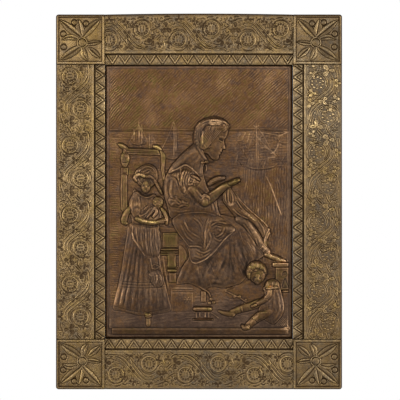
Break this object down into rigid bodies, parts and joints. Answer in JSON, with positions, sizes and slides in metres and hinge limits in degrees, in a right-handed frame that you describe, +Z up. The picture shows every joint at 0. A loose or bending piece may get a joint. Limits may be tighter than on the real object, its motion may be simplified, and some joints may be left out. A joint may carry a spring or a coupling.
{
  "type": "bronze relief plaque",
  "caption": "Framed bronze wall relief of a woman sewing with two children, in a border of scrollwork rails and four flowered corner blocks.",
  "frame": {"origin": "middle of the plaque on its flat back, where it meets the wall", "axes": "+Y into the wall, +Z up the plaque, +X to the viewer's right"},
  "size_m": [0.458, 0.0228, 0.6016],
  "materials": {
    "panel_bronze": "red-brown patinated bronze, rubbed on the high parts",
    "frame_bronze": "olive-gold patinated bronze, dark in the hollows"
  },
  "bodies": {
    "root": {"relief_panel": "panel_bronze", "rail_top": "frame_bronze", "rail_bottom": "frame_bronze", "rail_left": "frame_bronze", "rail_right": "frame_bronze", "corner_block_top_left": "frame_bronze", "corner_block_top_right": "frame_bronze", "corner_block_bottom_left": "frame_bronze", "corner_block_bottom_right": "frame_bronze"}
  },
  "joints": []
}
